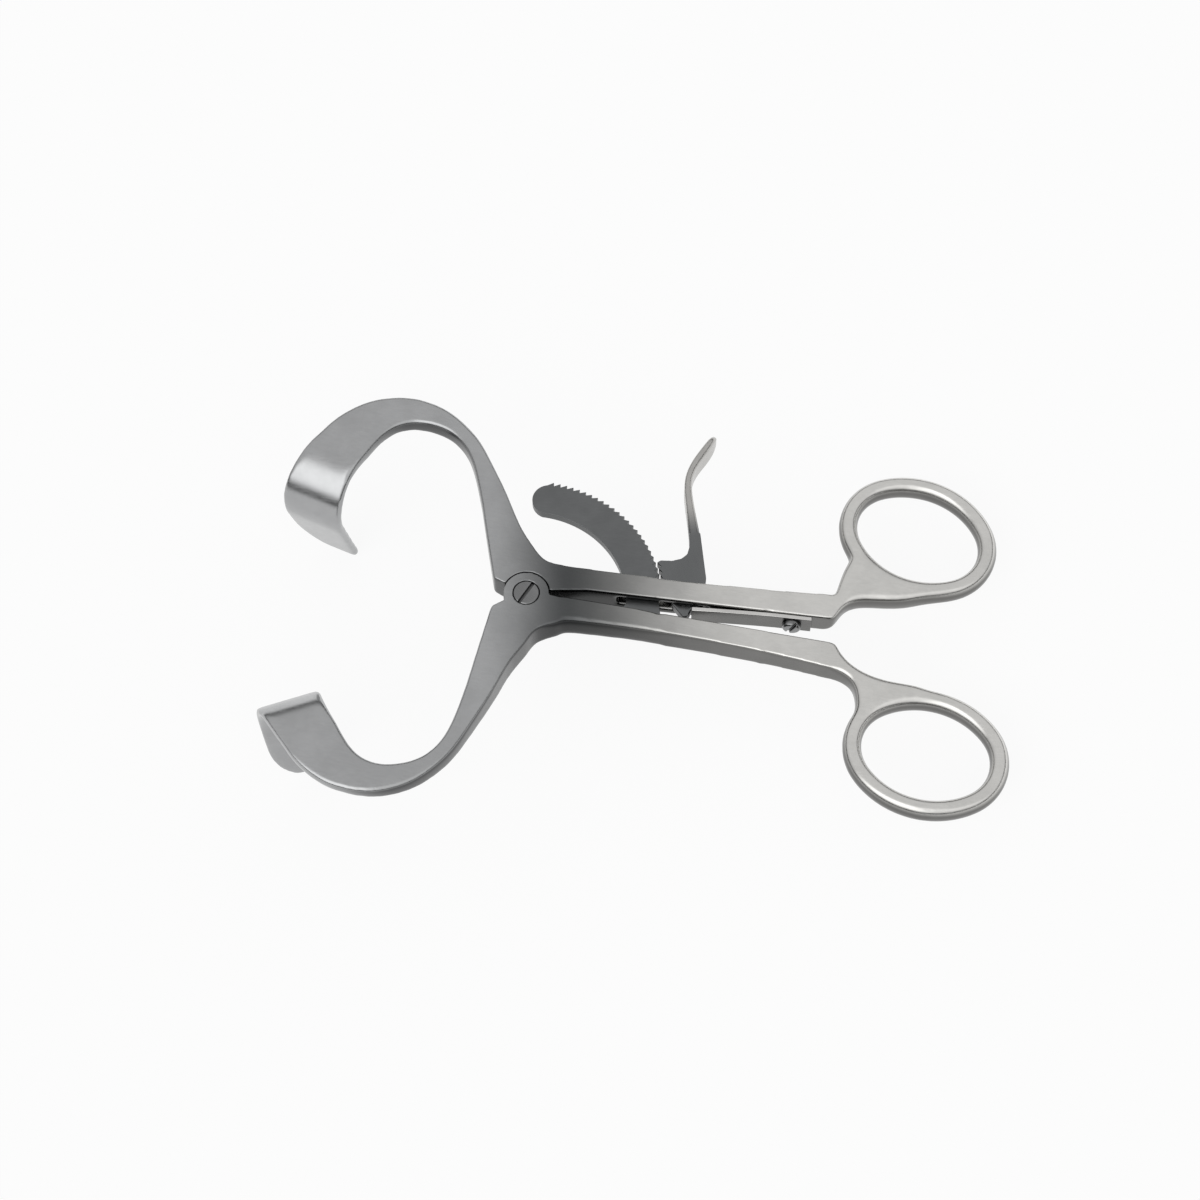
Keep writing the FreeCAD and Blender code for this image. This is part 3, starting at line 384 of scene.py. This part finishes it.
def smooth_zone(shape, zone):
    """Smooth the vertices inside a zone, with more passes the deeper they lie."""
    ranked = [(zone.depth(into_scissor @ vert.co / MM), vert) for vert in shape.verts]
    ranked.sort(key=lambda pair: pair[0])
    depths = [inside for inside, _ in ranked]
    for number in range(zone.passes):
        first = bisect_left(depths, zone.reach * (number + 0.5) / zone.passes)
        chosen = [vert for _, vert in ranked[first:]]
        bmesh.ops.smooth_vert(shape, verts=chosen, factor=0.5,
                              use_axis_x=True, use_axis_y=True, use_axis_z=True)
    if zone.swell:
        shape.normal_update()
        for inside, vert in ranked:
            vert.co += vert.normal * zone.swell * MM * min(max(inside / zone.reach, 0.0), 1.0)


def even_skin(name, shape, grid):
    """A new bmesh around a closed one, which is used up, with its vertices on an even grid."""
    blank = link_object(name + "_blank", mesh_of(name + "_blank", shape))
    remesh = blank.modifiers.new("even_skin", "REMESH")
    remesh.mode = "VOXEL"
    remesh.voxel_size = grid * MM
    remesh.adaptivity = 0.0
    evaluated = blank.evaluated_get(bpy.context.evaluated_depsgraph_get())
    skin = bmesh.new()
    skin.from_mesh(bpy.data.meshes.new_from_object(evaluated))
    bpy.data.objects.remove(blank)
    return skin


def add_forging(name, node, steel, grid, zones, turn=0.0, wedge=(), flush=()):
    """Round a forging's edges and blend its joints in zones.

    Its skin's grid, in mm, runs along its shank, which points turn degrees off the X axis. A wedge, given
    by points in the shank's axes, becomes part of it. The pins in flush are ground off with the forging,
    so its skin closes over their ends.
    """
    into_shank = Matrix.Rotation(math.radians(-turn), 4, "Z") @ into_scissor
    shape = merged_copy(node, *flush)
    shape.transform(into_shank)
    if wedge:
        bmesh.ops.convex_hull(shape, input=[shape.verts.new(point * MM) for point in wedge])
    shape = even_skin(name, shape, grid)
    shape.transform(into_shank.inverted())
    for zone in zones:
        smooth_zone(shape, zone)
    add_piece(name, shape, node, steel)


LAP_RADIUS = 5.0                     # the lap joint and its screw keep crisp edges
JAW_START = -5.0                     # left of it the arms are jaws, with softer edges
RING_START = 56.0                    # right of it they are webs and rings, with the softest edges
FLARE_START, FLARE_END = 3.0, 26.0   # between them the lower jaw runs into its shank
FLARE_WALL = -3.4                    # inner bound of the wall on its outer side


def past_lap(point):
    return math.hypot(point.x, point.y) - LAP_RADIUS


def past_jaw_start(point):
    return JAW_START - point.x


def past_shoulder(point):
    return point.x - RING_START


def in_lower_flare(point):
    """The depth from the wall's inner bound counts double, because the wall is narrow."""
    return min(point.x - FLARE_START, FLARE_END - point.x, 2.0 * (FLARE_WALL - point.y))


GROUND_EDGES = Zone(past_lap, 1.5, 9)
LEVER_EDGES = Zone(past_lap, 1.5, 6)
SOFT_JAWS = Zone(past_jaw_start, 7.0, 44)
SOFT_RINGS = Zone(past_shoulder, 5.0, 100, 0.3)
SOFT_FLARE = Zone(in_lower_flare, 4.0, 70)

# Both arms' rings and webs, as in the solids; an arm's own sizes are measured past its shoulder
RING_HALF = Vector((13.6, 10.9))     # half the length and half the width of a ring's middle line
BAND_HALF = Vector((1.6, 2.2))       # half the width and half the thickness of a ring's band
RING_LIFT = 0.3                      # height of the rings' middle over the arms' middle
WEDGE_HEIGHTS = (-1.5, 2.45)         # back and front of a wedge where it leaves its web
WEDGE_DEPTH = 2.0                    # how far the wedge reaches into the web there


def web_wedge(side, shoulder, edge, ring, ring_turn, place):
    """Points around a wedge that takes a web's edge over to its ring in one sweep, in the shank's axes.

    Edge is a point on the web's edge, ring the ring's centre, ring_turn the turn of its long axis, and
    place the angle on the ring where the wedge ends.
    """
    points = [(edge[0], edge[1] + inward, height)
              for inward in (0.0, WEDGE_DEPTH) for height in WEDGE_HEIGHTS]
    place = math.radians(place)
    for angle in map(math.radians, range(0, 360, 30)):
        half = RING_HALF + Vector((1.0, 1.0)) * BAND_HALF.x * math.cos(angle)
        on_ring = Vector((half.x * math.cos(place), half.y * math.sin(place)))
        on_ring.rotate(Matrix.Rotation(math.radians(ring_turn), 2))
        height = RING_LIFT + BAND_HALF.y * math.sin(angle)
        points.append((ring[0] + on_ring.x, ring[1] + on_ring.y, height))
    return [Vector((shoulder + x, side * y, z)) for x, y, z in points]


UPPER_TURN, LOWER_TURN = -6.9, -10.7
UPPER_WEDGE = web_wedge(1, 57.4, edge=(14.6, 8.0), ring=(14.5, 21.6), ring_turn=-20.7, place=316.0)
LOWER_WEDGE = web_wedge(-1, 58.3, edge=(12.7, 5.2), ring=(19.35, 18.0), ring_turn=5.9, place=266.0)

add_forging("upper_forging", "upper_arm", ARM_STEEL, 0.25,
            [GROUND_EDGES, SOFT_JAWS, SOFT_RINGS], UPPER_TURN, UPPER_WEDGE, ["pawl_pin"])
add_forging("lower_forging", "lower_arm", ARM_STEEL, 0.25,
            [GROUND_EDGES, SOFT_JAWS, SOFT_RINGS, SOFT_FLARE], LOWER_TURN, LOWER_WEDGE, ["rack_pins"])
add_forging("thumb_lever", "pawl_lever", LEVER_STEEL, 0.13, [LEVER_EDGES])
add_ground_piece("toothed_arc", "ratchet_rack", RACK_STEEL, 0.07)
add_ground_piece("spring_strip", "leaf_spring", SPRING_STEEL, 0.12)
add_ground_piece("pivot_screw_turned", "pivot_screw", SCREW_STEEL, 0.06)
add_ground_piece("spring_screw_turned", "spring_screw", SCREW_STEEL, 0.10)

for pin in ("rack_pins", "pawl_pin"):
    nodes[pin].data.materials.clear()
    nodes[pin].data.materials.append(ARM_STEEL)


# Table and light

def add_table():
    """A white table. Camera and reflections see it as a white sweep that keeps the object's faint shadow."""
    half_size = 3.0
    paint_white = (0.94, 0.94, 0.94, 1.0)
    sweep_share = 0.9
    shape = bmesh.new()
    bmesh.ops.create_grid(shape, x_segments=1, y_segments=1, size=half_size)
    table = link_object("table", mesh_of("table", shape))
    material = bpy.data.materials.new("table_white")
    material.use_nodes = True
    tree = material.node_tree
    paint = tree.nodes["Principled BSDF"]
    paint.inputs["Base Color"].default_value = paint_white
    paint.inputs["Roughness"].default_value = 0.9
    paint.inputs["Specular IOR Level"].default_value = 0.0
    white = tree.nodes.new("ShaderNodeEmission")
    white.inputs["Strength"].default_value = 1.0
    rays = tree.nodes.new("ShaderNodeLightPath")
    seen = calculate(tree, "MAXIMUM", rays.outputs["Is Camera Ray"], rays.outputs["Is Glossy Ray"])
    seen = calculate(tree, "MAXIMUM", seen, rays.outputs["Is Transmission Ray"])
    blend = tree.nodes.new("ShaderNodeMixShader")
    tree.links.new(calculate(tree, "MULTIPLY", seen, sweep_share), blend.inputs["Fac"])
    tree.links.new(paint.outputs[0], blend.inputs[1])
    tree.links.new(white.outputs[0], blend.inputs[2])
    tree.links.new(blend.outputs[0], tree.nodes["Material Output"].inputs["Surface"])
    table.data.materials.append(material)


def light_world():
    """A studio: dim at the horizon, pale above, with a bright panel before the table's left half."""
    dim, pale = 0.10, 0.64
    right_share, left_share = 0.25, 1.0
    world = bpy.data.worlds.new("studio")
    bpy.context.scene.world = world
    world.use_nodes = True
    tree = world.node_tree
    split = tree.nodes.new("ShaderNodeSeparateXYZ")
    tree.links.new(tree.nodes.new("ShaderNodeTexCoord").outputs["Generated"], split.inputs[0])
    to_right, to_back, up = split.outputs["X"], split.outputs["Y"], split.outputs["Z"]
    room = smooth_step(tree, up, 0.10, 0.35, dim, pale)
    in_front = smooth_step(tree, to_back, -0.15, -0.45)
    raised = smooth_step(tree, up, 0.22, 0.45)
    at_left = smooth_step(tree, to_right, 0.16, -0.06, right_share, left_share)
    panel = calculate(tree, "MULTIPLY", calculate(tree, "MULTIPLY", in_front, raised), at_left)
    back = tree.nodes["Background"]
    back.inputs["Color"].default_value = (1.0, 1.0, 1.0, 1.0)
    tree.links.new(calculate(tree, "ADD", room, panel), back.inputs["Strength"])


add_camera()
add_table()
light_world()
bpy.context.scene.view_settings.view_transform = "Standard"
